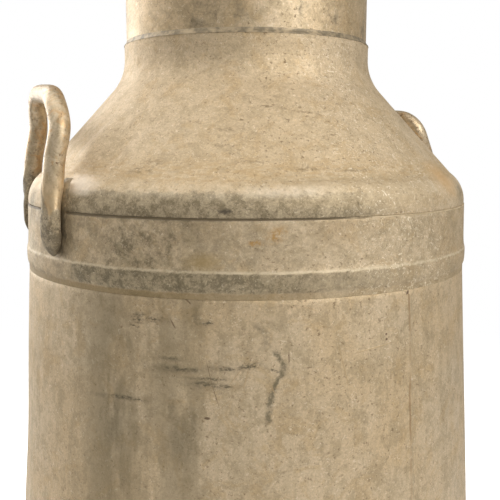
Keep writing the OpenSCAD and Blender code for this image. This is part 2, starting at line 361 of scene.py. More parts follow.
def patch(name, sides, rise, at):
    """Lumps of solder on the skin: a closed mound for each azimuth in at. Sides give a mound's
    (height, half-width, crown), and rise gives the skin's radius at a height, all in mm."""
    heights, halves, crowns = np.array(sides).T
    low, high = heights[0], heights[-1]
    levels = np.linspace(low, high, int((high - low) / 1.5) + 2)
    u, z = np.meshgrid(np.linspace(-1, 1, MOUND_COLUMNS), levels)
    skin = rise(z)
    points, faces = [], []
    for number, centre in enumerate(at):
        wander = 1 + 0.10 * np.sin(z / 2.3 + centre) + 0.06 * np.sin(z / 0.9 + 2 * centre)
        half = np.interp(z, heights, halves) * wander
        ends = np.sqrt(np.clip(1 - ((z - levels.mean()) / (levels[-1] - levels[0]) * 2) ** 8, 0, 1))
        swell = (1 - np.abs(u) ** 3) * ends * (1 + 0.12 * np.sin(z / 1.7 + 3 * u + centre))
        azimuth = centre + np.degrees(u * half / skin)
        for lift in (swell * np.interp(z, heights, crowns), -SOLDER_SUNK):
            points.append(in_space(skin + lift, azimuth, z).reshape(-1, 3))
        faces += mound_faces(len(levels), MOUND_COLUMNS, 2 * number * z.size)
    return mesh_object(name, np.concatenate(points), faces, 50)


SEAM_SIDES = [
    # height, half-width and crown of the solder run over the body's seam
    (HOOP_TOP + 1, 2.6, 0.4), (HOOP_TOP + 6, 3.2, 0.45),
    (BODY_TOP - 6, 3.2, 0.45), (BODY_TOP - 1, 2.8, 0.4),
]


# ---- handles
LEG_HALF = 61.3  # half the distance between the legs
HANDLES = [
    # side, azimuth, inward lean, the legs' inward bow, how far the near corner is knocked down,
    # radius of the corners, and length from a leg's foot to the middle of the top bar
    ("left", LEFT_AZ, 5, 2.8, 4.5, 28.0, 66.0),
    ("right", RIGHT_AZ, 28, 1.0, -3.0, 14.0, 63.0),
]
LEG_FOOT_Z = LIP_Z + 7
LEG_FOOT_R = LIP_R + 3.8
LEG_SPREAD = math.degrees(math.asin(LEG_HALF / LEG_FOOT_R))
TAIL_FOOT = LIP_Z - 27.5
TAIL_ROUND = 13.0  # length of a tail's rounded end
SOLDER_T = 0.8  # thickness of the solder between a tail and the skin
PAD_SIDES = [
    # height, half-width and crown of the solder under a tail and up to its leg
    (TAIL_FOOT - 1.2, 3.0, 0.6), (TAIL_FOOT + 3, 6.2, 0.7), (TAIL_FOOT + 12, 8.8, 0.9),
    (LIP_Z, 9.2, 1.0), (LIP_Z + 9, 8.8, 1.3), (LIP_Z + 14, 7.6, 2.2), (LIP_Z + 18, 6.0, 3.4),
    (LIP_Z + 20, 4.6, 2.6),
]


def half_loop(lean, knee, sag, corner_r, length):
    """Centreline of one half of a handle's loop, from a leg's foot to the middle of the bar,
    in the handle's own frame: outwards, across, up."""
    pitch, corner = 1.2, length - corner_r
    rise = [(LEG_HALF, t) for t in np.arange(6, corner, pitch)]
    turn = np.radians(np.arange(0, 90, 78 / corner_r))
    rise += [(LEG_HALF - corner_r * (1 - math.cos(a)), corner + corner_r * math.sin(a)) for a in turn]
    rise += [(y, length) for y in np.arange(LEG_HALF - corner_r, 0, -pitch)]
    across, up = np.array(rise).T
    up = up + 1.2 * (1 - (across / LEG_HALF) ** 2) - sag * across / LEG_HALF * smooth_step(15, 60, up)
    bow = 0.8 * (up / length) ** 2 - knee * np.exp(-((up - 45) / 14) ** 2)
    foot_x = LEG_FOOT_R * math.cos(math.radians(LEG_SPREAD))
    tilt = math.radians(lean)
    outward = foot_x - up * math.sin(tilt) + bow * math.cos(tilt)
    height = LEG_FOOT_Z + up * math.cos(tilt) + bow * math.sin(tilt)
    return np.stack([outward, across, height], -1)


def half_handle(lean, knee, sag, corner_r, length):
    """Centre, half-width and half-thickness along one half of a handle, from its tail's tip."""
    round_end, tail_end = TAIL_FOOT + TAIL_ROUND, LEG_FOOT_Z + 5
    curve = TAIL_FOOT + TAIL_ROUND * (1 - np.cos(np.linspace(0.05, 1.5, 16)))
    z = np.concatenate([curve, np.arange(round_end + 0.5, tail_end, 1.0)])
    tip = np.sqrt(1 - np.clip((round_end - z) / TAIL_ROUND, 0, 1) ** 2)
    half_t = np.interp(z, [TAIL_FOOT, TAIL_FOOT + 10, LIP_Z, tail_end], [3.4, 4.3, 4.6, ROD_R])
    half_t = half_t * (0.3 + 0.7 * tip)
    half_w = np.interp(z, [TAIL_FOOT, TAIL_FOOT + 12, LIP_Z, tail_end + 1], [7.4, 8.3, 7.8, ROD_R]) * tip
    on_skin = skin_r(z) + SOLDER_T * 0.6 + half_t
    share = smooth_step(LIP_Z - 2, tail_end, z)
    radius = on_skin * (1 - share) + LEG_FOOT_R * share
    spread = math.radians(LEG_SPREAD)
    tail = np.stack([radius * math.cos(spread), radius * math.sin(spread), z], -1)
    loop = half_loop(lean, knee, sag, corner_r, length)
    path = np.concatenate([tail, loop])
    width = np.concatenate([half_w, np.full(len(loop), ROD_R)])
    thick = np.concatenate([half_t, np.full(len(loop), ROD_R)])
    return path, width, thick


def smoothed(values, passes):
    """Values along a path, evened out between their neighbours; the ends stay."""
    for _ in range(passes):
        values[1:-1] = (values[:-2] + 2 * values[1:-1] + values[2:]) / 4
    return values


def whole_handle(lean, knee, sag, corner_r, length):
    """Centre, half-width and half-thickness along a handle, from tail to tail."""
    path, width, thick = half_handle(lean, knee, sag, corner_r, length)
    other = half_handle(lean, knee, -sag, corner_r, length)[0] * np.array([1, -1, 1])
    path = smoothed(np.concatenate([path, other[-2::-1]]), 10)
    width, thick = [np.concatenate([half, half[-2::-1]]) for half in (width, thick)]
    return path, width, thick


def rod_axes(path, lean):
    """Outward and sideways directions of a handle's section, at each point of its path."""
    tangent = np.gradient(path, axis=0)
    tangent /= np.linalg.norm(tangent, axis=1)[:, None]
    tilt = math.radians(lean)
    spread = np.radians(np.clip(path[:, 1] / LEG_HALF, -1, 1) * LEG_SPREAD)
    low = smooth_step(LEG_FOOT_Z + 25, LEG_FOOT_Z, path[:, 2])[:, None]
    radial = np.stack([np.cos(spread), np.sin(spread), 0 * spread], -1)
    plane = np.array([math.cos(tilt), 0, math.sin(tilt)])
    outward = radial * low + plane * (1 - low)
    outward -= tangent * np.einsum("ij,ij->i", outward, tangent)[:, None]
    outward /= np.linalg.norm(outward, axis=1)[:, None]
    return outward, np.cross(tangent, outward)


def rod_section(path, width, thick):
    """Outward and sideways offsets of the points round a handle, at each point of its path."""
    z = path[:, 2]
    along = np.concatenate([[0], np.cumsum(np.linalg.norm(np.diff(path, axis=0), axis=1))])
    lumps = 1 + 0.015 * np.sin(along / 17 + 1) + 0.006 * np.sin(along / 6.1)
    flat = smooth_step(LIP_Z + 8, LIP_Z - 2, z)[:, None]
    square = 1 - 0.28 * flat  # a tail's section is squarer than the rod's
    u, v = [np.sign(swing) * np.abs(swing) ** square * (half * lumps)[:, None]
            for swing, half in ((np.sin(ROUND), width), (np.cos(ROUND), thick))]
    tongue = np.interp(z, [LIP_Z - 4, LEG_FOOT_Z + 14], [0.2, 5.0])[:, None]
    raised = smooth_step(tongue + 0.9, tongue - 0.9, np.abs(u)) - 0.6
    window = smooth_step(LIP_Z - 6, LIP_Z + 3, z) * smooth_step(LIP_Z + 26, LIP_Z + 12, z)
    return v + 0.9 * raised * window[:, None] * (v > 0), u


def turned_to(azimuth, points):
    """Points of a piece that is drawn at the right of the can (+X), turned to its azimuth."""
    turn = math.radians(azimuth)
    x, y, z = np.moveaxis(points, -1, 0)
    right = x * math.sin(turn) + y * math.cos(turn)
    back = y * math.sin(turn) - x * math.cos(turn)
    return np.stack([right, back, z], -1)


def handle(name, azimuth, lean, *bends):
    """Rod loop with two flattened tails, swept as one closed mesh."""
    path, width, thick = whole_handle(lean, *bends)
    outward, side = rod_axes(path, lean)
    v, u = rod_section(path, width, thick)
    rings = path[:, None] + outward[:, None] * v[..., None] + side[:, None] * u[..., None]
    ends = path[[0, -1]] - [0, 0, 0.2]
    return rod(name, turned_to(azimuth, rings), turned_to(azimuth, ends))


# ---- foot, neck and lid
def hoop_outline():
    """Foot hoop: rounded lower edge, flat band up the body, and ledge in under the sheets."""
    edge = 2.5
    inner = wall_r(LEDGE) - 2 * SHEET - 1
    return (
        [(inner, 0.6), (inner + 0.6, 0)]
        + run([(inner + 0.7, 0), (FOOT_R - edge, 0)], 4)
        + arc((FOOT_R - edge, edge), edge, -80, 80, 10)
        + run([(wall_r(5) + HOOP_T + 0.3, 5.4), (wall_r(7) + HOOP_T, 7)], 1)
        + run([(wall_r(7.5) + HOOP_T, 7.5), (wall_r(HOOP_TOP) + HOOP_T, HOOP_TOP - 1)])
        + arc((wall_r(HOOP_TOP) + HOOP_T - 1, HOOP_TOP - 1), 1, 20, 90, 4)
        + run([(wall_r(HOOP_TOP), HOOP_TOP), (wall_r(LEDGE), LEDGE), (inner, LEDGE)], INNER_PITCH)
    )


def pan_outline():
    """Base sheet: dished floor, rim and flange down inside the body."""
    edge = wall_r(PAN_Z) - SHEET
    rim, dish, bend = edge - 6, 10.0, 2.0
    dish_r = (rim ** 2 + dish ** 2) / (2 * dish)
    sweep = math.degrees(math.asin(rim / dish_r))
    centre = (0, PAN_Z - dish + dish_r)
    lower = arc(centre, dish_r, -90, -90 + sweep, 24)
    upper = arc(centre, dish_r + SHEET, -90 + sweep - 1, -90, 24)
    flange = wall_r(LEDGE) - SHEET
    side = [
        (edge - 1, PAN_Z), (edge, PAN_Z - bend), (flange, LEDGE),
        (flange - SHEET, LEDGE), (edge - SHEET, PAN_Z - 2 * bend),
    ]
    return [(0, lower[0][1])] + lower[1:] + run(side, 5) + upper[:-1] + [(0, upper[-1][1])]


def neck_outline():
    """Straight neck tube."""
    low = COLLAR_Z + 1
    corners = [(NECK_R, low), (NECK_R, MOUTH_Z), (BORE_R, MOUTH_Z), (BORE_R, low), (NECK_R, low)]
    return run(corners, 4)[:-1]


def neck_solder_outline():
    """Hollow solder fillet where the collar meets the neck."""
    return [
        (NECK_R, COLLAR_TOP - 0.2), (COLLAR_R + 0.3, COLLAR_TOP - 0.2), (COLLAR_R + 0.1, COLLAR_TOP + 0.4),
        (NECK_R + 0.9, COLLAR_TOP + 1.1), (NECK_R + 0.3, COLLAR_TOP + 2.4), (NECK_R, COLLAR_TOP + 3.2),
    ]


def mouth_wire_outline():
    """Sheet rolled round the wire at the mouth."""
    centre = (NECK_R + MOUTH_WIRE_R * 0.8, MOUTH_Z - MOUTH_WIRE_R)
    return arc(centre, MOUTH_WIRE_R, -142, 142, 26)


def plug_outline(inset):
    """Outer face of the lid's plug moved in by inset, from its centre: its floor and its corner."""
    foot_r, corner, crown = PLUG_R - 2, 9.0, 1.2
    floor = [(0, PLUG_FOOT + inset + crown), (foot_r * 0.55, PLUG_FOOT + inset + crown * 0.75)]
    curve = arc((foot_r - corner, PLUG_FOOT + corner), corner - inset, -88, 0, 12)
    return floor, curve


def plug_piece_outline():
    """Dished plug with a small flange that hangs it on the brim."""
    flange, bore = PLUG_TOP - 1.2, PLUG_R - NECK_SHEET
    floor, curve = plug_outline(0)
    outer = run(floor + curve + [(PLUG_R, flange)], 3)
    lip = [
        (PLUG_R + 6, flange), (PLUG_R + 6, PLUG_TOP - 0.4), (PLUG_R + 5.6, PLUG_TOP),
        (PLUG_R + 0.4, PLUG_TOP), (PLUG_R - 0.8, PLUG_TOP - 0.5), (bore, flange - 0.2),
    ]
    floor, curve = plug_outline(NECK_SHEET)
    inner = run([(bore, flange - 0.3)] + curve[::-1] + floor[::-1], 3)
    return outer + lip + inner[1:]


def brim_outline():
    """Flat brim with its edge curled round the brim wire."""
    wire_low, wire_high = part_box("lid_brim_wire")
    wire_r = (wire_high.z - wire_low.z) / MM / 2
    centre = (BRIM_R - wire_r - NECK_SHEET, BRIM_TOP - wire_r - NECK_SHEET)
    inner = PLUG_R + 0.2
    edge = [(inner, MOUTH_Z), (inner, BRIM_TOP)]
    top = run([(inner + 7, BRIM_TOP), (centre[0] - 1, BRIM_TOP)], 2)
    curl = arc(centre, wire_r + NECK_SHEET, 90, -100, 24) + arc(centre, wire_r + 0.06, -100, 90, 20)
    return edge + top + curl


def grip_bar(name):
    """Bar across the lid, slightly bowed, worn thinner in the middle."""
    x = np.linspace(GRIP_LOW.x, GRIP_HIGH.x, 90)
    middle = x / GRIP_HIGH.x
    thick = GRIP_R * (1 - 0.07 * np.exp(-(middle / 0.35) ** 2) + 0.010 * np.sin(x / 5))
    height = GRIP_Z - 0.25 * (1 - middle ** 2)
    y = np.cos(ROUND)[None] * thick[:, None]
    z = height[:, None] + np.sin(ROUND)[None] * thick[:, None]
    rings = np.stack([np.repeat(x[:, None], RING, 1), y, z], -1)
    return rod(name, rings, np.array([[x[0], 0, height[0]], [x[-1], 0, height[-1]]]))


COLLAR_SHAPE = [
    # how far in from the plug's wall, and how far out from the bar
    (0.0, 0.0), (0.0, 2.9), (0.8, 2.5), (1.6, 1.4), (2.6, 0.6), (3.2, 0.0),
]


def grip_solder(name):
    """Two collars of solder that join the bar's ends to the plug's wall."""
    rings, faces = [], []
    for end in (-1, 1):
        start = len(rings) * RING
        for depth, extra in COLLAR_SHAPE:
            r = GRIP_R + extra * (1 + 0.15 * np.sin(3 * ROUND + end))
            y = np.cos(ROUND) * r
            reach = np.sqrt((PLUG_R - NECK_SHEET) ** 2 - y ** 2) - depth
            rings.append(np.stack([end * reach, y, GRIP_Z + np.sin(ROUND) * r], -1))
        faces += grid_faces(len(COLLAR_SHAPE), RING, wrap_rows=True, start=start)
    return mesh_object(name, np.concatenate(rings) * MM, faces, 60)


# ---- materials
class Paint:
    """Node graph of one material, with the colour and the relief laid on it so far.
    Its methods return sockets, and numbers may stand for sockets."""

    def __init__(self, name):
        self.material = bpy.data.materials.new(name)
        self.material.use_nodes = True
        self.tree = self.material.node_tree
        self.shader = self.tree.nodes["Principled BSDF"]
        self.colour, self.relief = None, None
        self.place = self.node("TexCoord").outputs["Object"]
        split = self.node("SeparateXYZ", {"Vector": self.place}).outputs
        behind = self.math("MULTIPLY", split["Y"], -1.0)
        turn = self.math("ARCTAN2", split["X"], behind)
        self.azimuth = self.math("MULTIPLY", turn, 180 / math.pi)
        self.height = self.math("MULTIPLY", split["Z"], 1 / MM)
        across = self.math("MULTIPLY", turn, BODY_R)
        self.chart = self.node("CombineXYZ", {"X": across, "Y": self.height}).outputs[0]
        ragged = self.node("TexNoise", {"Vector": self.chart, "Scale": 0.45, "Detail": 3.0})
        drift = self.vector("SUBTRACT", ragged.outputs["Color"], (0.5, 0.5, 0.5))
        self.ragged_chart = self.vector("MULTIPLY_ADD", drift, (8.0, 2.2, 0.0), self.chart)

    def node(self, kind, values=None, **settings):
        made = self.tree.nodes.new("ShaderNode" + kind)
        for key, value in settings.items():
            setattr(made, key, value)
        for slot, value in (values or {}).items():
            self.feed(made.inputs[slot], value)
        return made

    def feed(self, socket, value):
        if isinstance(value, bpy.types.NodeSocket):
            self.tree.links.new(value, socket)
        else:
            socket.default_value = value

    def math(self, operation, *values):
        return self.node("Math", dict(enumerate(values)), operation=operation).outputs[0]

    def vector(self, operation, *values):
        return self.node("VectorMath", dict(enumerate(values)), operation=operation).outputs[0]

    def length(self, vector):
        return self.node("VectorMath", {0: vector}, operation="LENGTH").outputs["Value"]

    def fold(self, operation, values):
        total = values[0]
        for value in values[1:]:
            total = self.math(operation, total, value)
        return total

    def product(self, *values):
        return self.fold("MULTIPLY", values)

    def either(self, *masks):
        return self.fold("MAXIMUM", masks)

    def plus(self, base, value, share):
        """The base with a share of a value added."""
        return self.math("MULTIPLY_ADD", value, share, base)

    def apart(self, first, second):
        return self.math("ABSOLUTE", self.math("SUBTRACT", first, second))

    def mapped(self, value, low, high, first=0.0, last=1.0, curve="LINEAR"):
        """Goes from first to last as the value goes from low to high."""
        inputs = {"Value": value, "From Min": low, "From Max": high, "To Min": first, "To Max": last}
        return self.node("MapRange", inputs, interpolation_type=curve).outputs[0]

    def step(self, value, low, high):
        """0 below low and 1 above high, smooth between; low may be the larger."""
        return self.mapped(value, low, high, curve="SMOOTHSTEP")

    def window(self, value, low, high, soft):
        """1 between low and high, and 0 outside them."""
        above = self.step(value, low - soft, low + soft)
        return self.product(above, self.step(value, high + soft, high - soft))

    def sector(self, low, high, soft):
        """1 between two azimuths."""
        return self.window(self.azimuth, low, high, soft)

    def belt(self, low, high, soft):
        """1 between two heights."""
        return self.window(self.height, low, high, soft)

    def noise(self, size, detail, roughness=0.55, across=1, up=1, seed=0.0, warp=0.0):
        """Cloudy noise from 0 to 1 with features about size mm large. Below 1, across and up draw
        them out that way."""
        scale = 1 / (size * MM)
        scales = (scale * across, scale * across, scale * up)
        inputs = {
            "Vector": self.vector("MULTIPLY_ADD", self.place, scales, (seed, seed * 1.7, -seed)),
            "Scale": 1.0, "Detail": detail, "Roughness": roughness, "Distortion": warp,
        }
        return self.node("TexNoise", inputs).outputs["Fac"]

    def patches(self, low, high, size, detail, roughness=0.55, **settings):
        """Noise cut into patches: 0 where it is below low, and 1 where it is above high."""
        return self.step(self.noise(size, detail, roughness, **settings), low, high)

    def reach(self, at, size, tilt, ragged):
        """Distance from a mark's centre at (azimuth, height), as a share of its half-width and
        half-height in mm."""
        centre = (math.radians(at[0]) * BODY_R, at[1], 0)
        place = self.node("Mapping", {
            "Vector": self.ragged_chart if ragged else self.chart, "Location": centre,
            "Rotation": (0, 0, math.radians(tilt)), "Scale": (size[0], size[1], 1),
        }, vector_type="TEXTURE").outputs[0]
        return self.length(place)

    def nearest(self, marks, ragged=True):
        """Distance to the nearest of marks, each (azimuth, height), (half-width, half-height), tilt."""
        return self.fold("MINIMUM", [self.reach(*mark, ragged=ragged) for mark in marks])

    def blot(self, at, size, tilt, edge, ragged=True):
        """A mark centred at (azimuth, height), size mm half-width and half-height."""
        return self.step(self.reach(at, size, tilt, ragged), 1 + edge, 1 - edge)

    def line(self, start, end, width):
        """A thin straight mark between two (azimuth, height) points."""
        a = np.array([math.radians(start[0]) * BODY_R, start[1]])
        b = np.array([math.radians(end[0]) * BODY_R, end[1]])
        half = np.linalg.norm(b - a) / 2
        tilt = math.degrees(math.atan2(*(b - a)[::-1]))
        middle = (a + b) / 2
        at = (math.degrees(middle[0] / BODY_R), middle[1])
        return self.blot(at, (half, width / 2), tilt, 0.45, ragged=False)

    def trail(self, points, width, soft):
        """A winding mark that runs down through (azimuth, height) points, width mm wide."""
        low, high = points[-1][1], points[0][1]
        curve = self.node("FloatCurve", {"Value": self.mapped(self.height, low, high)})
        side = [p[0] for p in points]
        least, most = min(side), max(side)
        dots = sorted(((p[1] - low) / (high - low), (p[0] - least) / (most - least)) for p in points)
        path = curve.mapping.curves[0]
        while len(path.points) < len(dots):
            path.points.new(0.5, 0.5)
        for dot, place in zip(path.points, dots):
            dot.location = place
        curve.mapping.update()
        wander = self.math("SUBTRACT", self.noise(5, 4.0, 0.7, seed=least), 0.5)
        centre = self.plus(self.plus(least, curve.outputs[0], most - least), wander, 2.4)
        away = self.apart(self.azimuth, centre)
        half = math.degrees(width / 2 / BODY_R)
        inside = self.step(away, half * (1 + soft), half * (1 - soft))
        return self.product(inside, self.belt(low, high, 2.0))

    def mix(self, share, first, second):
        inputs = {0: share, 6: first, 7: second}
        return self.node("Mix", inputs, data_type="RGBA", clamp_factor=True).outputs[2]

    def shade(self, colour, factor):
        """A colour made lighter or darker by a factor."""
        return self.node("VectorMath", {0: colour, "Scale": factor}, operation="SCALE").outputs[0]

    def around(self, value, amount, middle=1.0):
        """Noise from 0 to 1 as a factor that varies by amount each way round middle."""
        return self.plus(middle - amount, value, 2 * amount)

    def coat(self, colour, *masks):
        """Lays a colour over the last one, as strongly as the product of the masks."""
        self.colour = self.mix(self.product(*masks), self.colour, colour)

    def vary(self, value, amount):
        """Makes the colour lighter and darker with the noise."""
        self.colour = self.shade(self.colour, self.around(value, amount))

    def emboss(self, value, height):
        """Raises the surface by a height in mm where the value is 1."""
        if self.relief is None:
            self.relief = self.math("MULTIPLY", value, height)
        else:
            self.relief = self.plus(self.relief, value, height)

    def dullness(self, size, seed, amount, middle):
        """Roughness that varies in clouds about size mm across."""
        return self.around(self.noise(size, 4.0, 0.6, seed=seed), amount, middle)

    def finish(self, roughness, metallic):
        """Connects the shader."""
        bump = self.node("Bump", {"Height": self.relief, "Distance": MM, "Strength": 1.0})
        self.feed(self.shader.inputs["Base Color"], self.colour)
        self.feed(self.shader.inputs["Roughness"], roughness)
        self.feed(self.shader.inputs["Metallic"], metallic)
        self.feed(self.shader.inputs["Normal"], bump.outputs[0])
        return self.material


def rgb(red, green, blue):
    """A colour given in display values from 0 to 255, as scene-linear."""
    values = [c / 255 for c in (red, green, blue)]
    return tuple(c / 12.92 if c < 0.04045 else ((c + 0.055) / 1.055) ** 2.4 for c in values) + (1.0,)


TAN = rgb(195, 171, 135)
PINK_TAN = rgb(198, 177, 145)
OLIVE = rgb(158, 139, 106)
OCHRE = rgb(178, 150, 106)
GREY_TIN = rgb(150, 136, 111)
DARK_TIN = rgb(96, 86, 66)
PALE = rgb(228, 211, 182)
RUST = rgb(150, 108, 62)
DARK_RUST = rgb(84, 58, 38)
SMEAR = rgb(104, 95, 72)
STEEL = rgb(150, 132, 108)
RUST_PIT = rgb(118, 92, 58)
GRIME_BROWN = rgb(110, 99, 74)
# cream of the painted highlights on the lip's roll
HIGHLIGHT_CREAM = rgb(240, 226, 206)


def lay_worn_tin(paint, tan=TAN, mottle=0.5, streak=0.12, seed=0.0):
    """Dulled tin: clouds, olive patches, drawn-out streaks, stains, grain, pale flecks and pits."""
    dull = paint.noise(11, 6.0, 0.74, seed=seed + 8.3, warp=0.6)
    curly = paint.noise(3.0, 6.0, 0.78, seed=seed + 4.6, warp=1.6)
    fine = paint.noise(1.2, 3.0, 0.75, seed=seed + 1.9)
    pits = paint.patches(0.61, 0.645, 2.0, 4.0, 0.74, seed=seed + 2.2)
    paint.colour = paint.mix(paint.patches(0.38, 0.62, 70, 3.0, 0.6, seed=seed), tan, PINK_TAN)
    paint.coat(OLIVE, paint.step(dull, 0.46, 0.60), mottle)
    paint.coat(OLIVE, paint.patches(0.48, 0.64, 8, 4.0, 0.6, up=streak, seed=seed + 5.7), mottle, 0.6)
    paint.coat(OCHRE, paint.patches(0.52, 0.61, 20, 6.0, 0.72, seed=seed + 3.1, warp=0.8), 0.36)
    paint.vary(curly, 0.34)
    paint.vary(fine, 0.36)
    paint.coat(PALE, paint.patches(0.585, 0.63, 2.4, 5.0, 0.78, seed=seed + 6.4, warp=1.2), 0.6)
    paint.coat(RUST_PIT, pits, 0.6)
    for value, height in ((curly, 0.18), (dull, 0.22), (fine, 0.08), (pits, -0.15)):
        paint.emboss(value, height)


def lay_speckle(paint, mask, seed, dark=DARK_TIN, light=GREY_TIN, strength=0.6):
    """Grey, clumpily speckled, worn-through metal where the mask is 1. Returns its clumps."""
    clumps = paint.noise(7.0, 6.0, 0.82, seed=seed, warp=0.3)
    metal = paint.mix(paint.step(clumps, 0.40, 0.60), dark, light)
    metal = paint.shade(metal, paint.around(paint.noise(1.3, 4.0, 0.8, seed=seed + 4.4), 0.85))
    flecks = paint.patches(0.585, 0.635, 2.0, 5.0, 0.78, seed=seed + 9.1, warp=1.0)
    paint.coat(paint.mix(paint.product(flecks, 0.5), metal, PALE), mask, strength)
    return clumps


SCUFFS = [
    # (azimuth, height), (half-width, half-height), tilt
    ((-22.0, 357.4), (4.4, 2.4), 0), ((-19.4, 357.2), (5, 1.3), 0), ((-7.4, 356.8), (3.2, 0.8), 4),
    ((-14.6, 329.8), (5.5, 1.2), 0), ((-11.6, 329.6), (5, 0.9), 2), ((-15.2, 335.4), (4.0, 0.7), 0),
    ((-3.0, 331.2), (7, 0.9), 0), ((1.0, 332.8), (5, 1.6), 8),
    ((-8.2, 321.9), (4.8, 1.3), 0), ((-4.4, 321.2), (5.5, 1.1), -3), ((-7.0, 325.0), (8, 0.5), 0),
    ((-26.4, 309.2), (9, 0.9), 4), ((-23.0, 352.7), (2.6, 0.7), -8), ((-22.6, 309.0), (4, 0.7), 0),
    ((6.1, 330.0), (2.8, 0.6), -16),
]
SMUDGE = [(2.4, 356.5), (3.0, 354.5), (4.5, 350), (4.7, 347), (3.6, 342)]
SMEAR_LINE = [(6.0, 341), (7.0, 337), (7.7, 331), (6.9, 326), (5.8, 319.5), (5.1, 312), (4.8, 300)]
GRIME = [
    ((-14.8, 306.0), (1.8, 8), 0), ((-10.4, 300.5), (2.2, 8), 0), ((-25.5, 366), (6, 5), 0),
    ((-9.8, 359.5), (1.6, 6), 0), ((-13, 289), (9, 14), 0), ((-28, 296), (6, 26), 0),
]
SCRATCHES = [
    # start and end as (azimuth, height), width
    ((-15.1, 358.0), (-14.1, 353.2), 1.0), ((-12.4, 371.3), (-10.8, 367.2), 1.0),
    ((8.9, 341), (8.9, 334), 0.5), ((-7.6, 335), (-6.5, 322), 0.4), ((-6.5, 322), (-5.0, 309), 0.35),
]
HAIRLINES = [
    ((19.3, 344.5), (21.8, 316.9), 0.6), ((23.2, 336.8), (32.8, 339.8), 0.6),
    ((-3.0, 322), (-0.6, 331), 0.5), ((-5.6, 306), (-2.6, 314), 0.5), ((0.8, 331), (-0.2, 320), 0.6),
    ((12, 366), (15, 363), 0.5), ((5.2, 322), (6.2, 316), 0.7),
]
NICKS = [
    ((37.4, 306.7), (2.0, 0.8), 40), ((37.6, 368.2), (1.5, 0.9), 50),
    ((31.2, 345.4), (0.7, 0.7), 0), ((31.3, 342.3), (0.8, 0.7), 0), ((-7.4, 302.3), (1.6, 0.8), 0),
]
SHOULDER_SCUFFS = [
    # (azimuth, height), (half-width, half-height), tilt
    ((-4.4, 465), (11, 1.0), 0), ((8, 479), (12, 0.8), -4), ((18, 476), (14, 0.8), -6),
    ((-4.8, 455.4), (5, 1.4), 0), ((16, 442.5), (20, 1.0), 0), ((27, 441.5), (12, 1.0), 0),
    ((1, 446.5), (9, 0.8), 0), ((-23.7, 443.2), (11, 4), 8), ((6.2, 492.1), (1.2, 1.0), 0),
    ((-15, 470), (7, 0.7), -10), ((24, 462), (8, 0.7), 12),
]


def lay_body_shade_and_grime(paint, fade):
    """Painted shade in streaks down the wall's front-left, deepest between azimuths -33 and -23, and grime
    marks that fade up and down in streaks.
    """
    streaks = paint.step(fade, 0.40, 0.56)
    # painted shade down the front-left of the wall, broken into streaks, and deepest in the middle of that
    # zone
    paint.coat(rgb(128, 114, 84), paint.sector(-38, -4, 8), streaks, 0.4)
    paint.coat(rgb(120, 107, 78), paint.sector(-33, -23, 5), paint.around(fade, 0.5, 0.3))
    paint.coat(GRIME_BROWN, paint.step(paint.nearest(GRIME), 1.6, 0.3), paint.step(fade, 0.36, 0.56), 0.45)


def lay_body_scuffs(paint, fade):
    """Broken dark scuffs in dim halos, and the winding smear with its smudge."""
    away = paint.nearest(SCUFFS)
    broken = paint.patches(0.42, 0.58, 1.3, 4.0, 0.75, across=0.4, seed=7.0)
    paint.coat(SMEAR, paint.step(away, 3.4, 0.6), paint.step(fade, 0.3, 0.6), 0.4)
    paint.coat(DARK_TIN, paint.step(away, 1.7, 0.4), broken, 0.9)
    patchy = paint.patches(0.34, 0.58, 3.4, 5.0, 0.72, seed=16.0)
    smear = paint.product(paint.trail(SMEAR_LINE, 3.3, 0.7), paint.around(patchy, 0.25, 0.58))
    smudge = paint.product(paint.trail(SMUDGE, 5.0, 0.9), patchy, 0.45)
    paint.coat(SMEAR, paint.either(smear, smudge))


def lay_scratches(paint):
    """Brown scratches, pale hairlines and rusty nicks."""
    scratches, hairlines = [
        paint.either(*[paint.line(*mark) for mark in marks]) for marks in (SCRATCHES, HAIRLINES)
    ]
    nicks = paint.step(paint.nearest(NICKS, ragged=False), 1.4, 0.6)
    paint.coat(rgb(98, 72, 46), scratches, 0.65)
    paint.coat(OCHRE, hairlines, 0.5)
    paint.coat(DARK_RUST, nicks, 0.8)
    paint.emboss(paint.either(scratches, nicks), -0.15)
    paint.emboss(hairlines, 0.1)


def body_material():
    """Body wall: vertical streaks, painted shade down the front-left, scuffs, smear, scratches, dirty
    foot.
    """
    paint = Paint("body_tin")
    lay_worn_tin(paint, seed=11.0)
    fade = paint.noise(26, 4.0, 0.65, up=0.3, seed=2.0)
    lay_body_shade_and_grime(paint, fade)
    lay_body_scuffs(paint, fade)
    lay_scratches(paint)
    splash = paint.step(paint.plus(paint.height, fade, 60.0), 105, 62)
    lay_speckle(paint, splash, 31.0, light=STEEL, strength=0.55)
    return paint.finish(paint.dullness(16, 14.0, 0.16, 0.55), 0.5)


def lay_lip_edge(paint):
    """Grey speckle along the lip's lower edge, in front and in places behind."""
    edge = paint.plus(paint.height, paint.noise(6, 5.0, 0.75, seed=3.0), -9.0)
    front = paint.sector(-50, 30, 9)
    sector = paint.either(front, paint.patches(0.48, 0.58, 70, 2.0, seed=6.0))
    grey = paint.product(paint.step(edge, 425.9, 424.0), sector)
    clumps = lay_speckle(paint, grey, 41.0, rgb(126, 112, 85), rgb(174, 157, 127), 0.9)
    paint.emboss(paint.product(clumps, grey), 0.2)


def lay_cone_marks(paint):
    """Level bands at the foot of the cone, and broken scuffs."""
    bands = paint.patches(0.42, 0.62, 7, 5.0, 0.7, up=5.0, seed=9.0)
    paint.coat(OCHRE, paint.belt(434, 447, 5), bands, 0.6)
    broken = paint.patches(0.42, 0.62, 1.8, 4.0, 0.72, across=0.5, seed=17.0)
    away = paint.nearest(SHOULDER_SCUFFS)
    paint.coat(rgb(122, 103, 72), paint.step(away, 1.6, 0.5), broken, 0.65)


